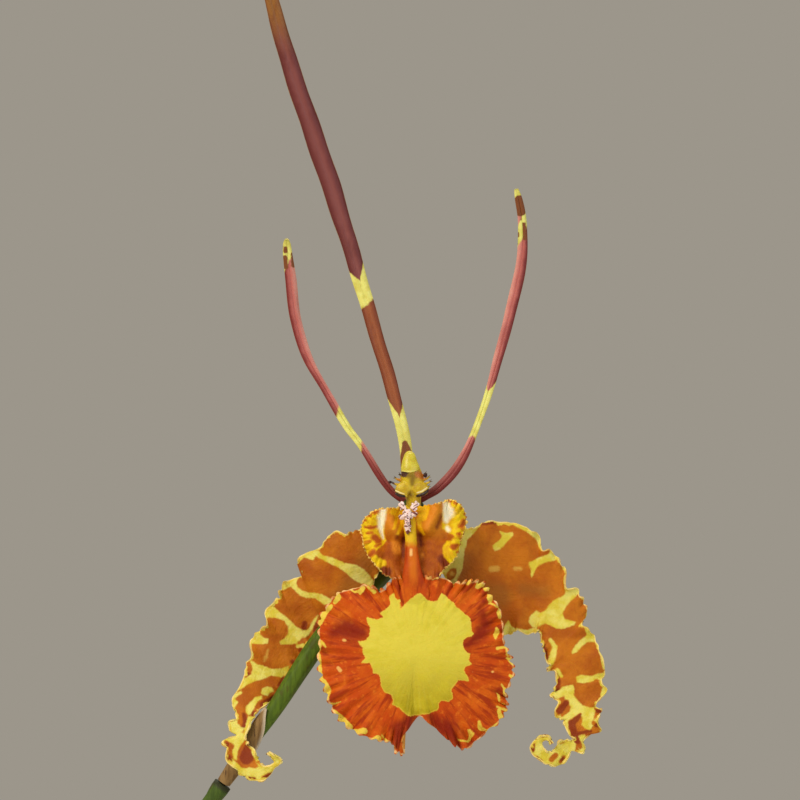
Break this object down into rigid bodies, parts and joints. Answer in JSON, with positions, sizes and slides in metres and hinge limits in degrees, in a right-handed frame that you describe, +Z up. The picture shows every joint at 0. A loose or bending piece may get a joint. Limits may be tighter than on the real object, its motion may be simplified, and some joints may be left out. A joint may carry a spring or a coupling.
{
  "type": "potted orchid",
  "caption": "Butterfly orchid in a clay pot: leathery leaves on flattened pseudobulbs, and a tall arching stem with one frilled, barred flower that has feeler-like petals.",
  "frame": {"origin": "middle of the pot's foot, on the plane it stands on", "axes": "+Z up; the flower looks along -Y, and the stem arches towards +X"},
  "size_m": [0.3514, 0.1257, 0.6512],
  "materials": {
    "clay": "matte fired clay",
    "bark": "rough dry bark",
    "root": "chalky pale skin",
    "bulb": "waxy skin, wrinkled",
    "dry_sheath": "dry papery, streaked",
    "leaf": "stiff and waxy, mottled",
    "stem": "smooth waxy skin",
    "ovary": "smooth waxy skin",
    "column": "soft satin",
    "anther_cap": "satin, waxy",
    "lip": "soft satin with a yellow patch in a red-brown band",
    "callus": "waxy, spotted",
    "dorsal_sepal": "satin, dark with yellow bars",
    "petal": "satin, pinkish red with yellow",
    "lateral_sepal": "satin, orange with yellow bars"
  },
  "bodies": {
    "root": {"pot": "clay", "potting_bark": "bark", "rhizome_and_roots": "root", "pseudobulb_1": "bulb", "bulb_sheath_1": "dry_sheath", "leaf_1": "leaf", "pseudobulb_2": "bulb", "bulb_sheath_2": "dry_sheath", "leaf_2": "leaf", "pseudobulb_3": "bulb", "bulb_sheath_3": "dry_sheath", "leaf_3": "leaf", "pseudobulb_4": "bulb", "bulb_sheath_4": "dry_sheath", "leaf_4": "leaf", "flower_stem": "stem", "stem_bract_1": "dry_sheath", "stem_bract_2": "dry_sheath", "stem_bract_3": "dry_sheath", "floral_bract": "dry_sheath", "flower_stalk_and_ovary": "ovary", "column": "column", "anther_cap": "anther_cap", "lip": "lip", "lip_callus": "callus", "dorsal_sepal": "dorsal_sepal", "petal_left": "petal", "petal_right": "petal", "lateral_sepal_left": "lateral_sepal", "lateral_sepal_right": "lateral_sepal"}
  },
  "joints": []
}
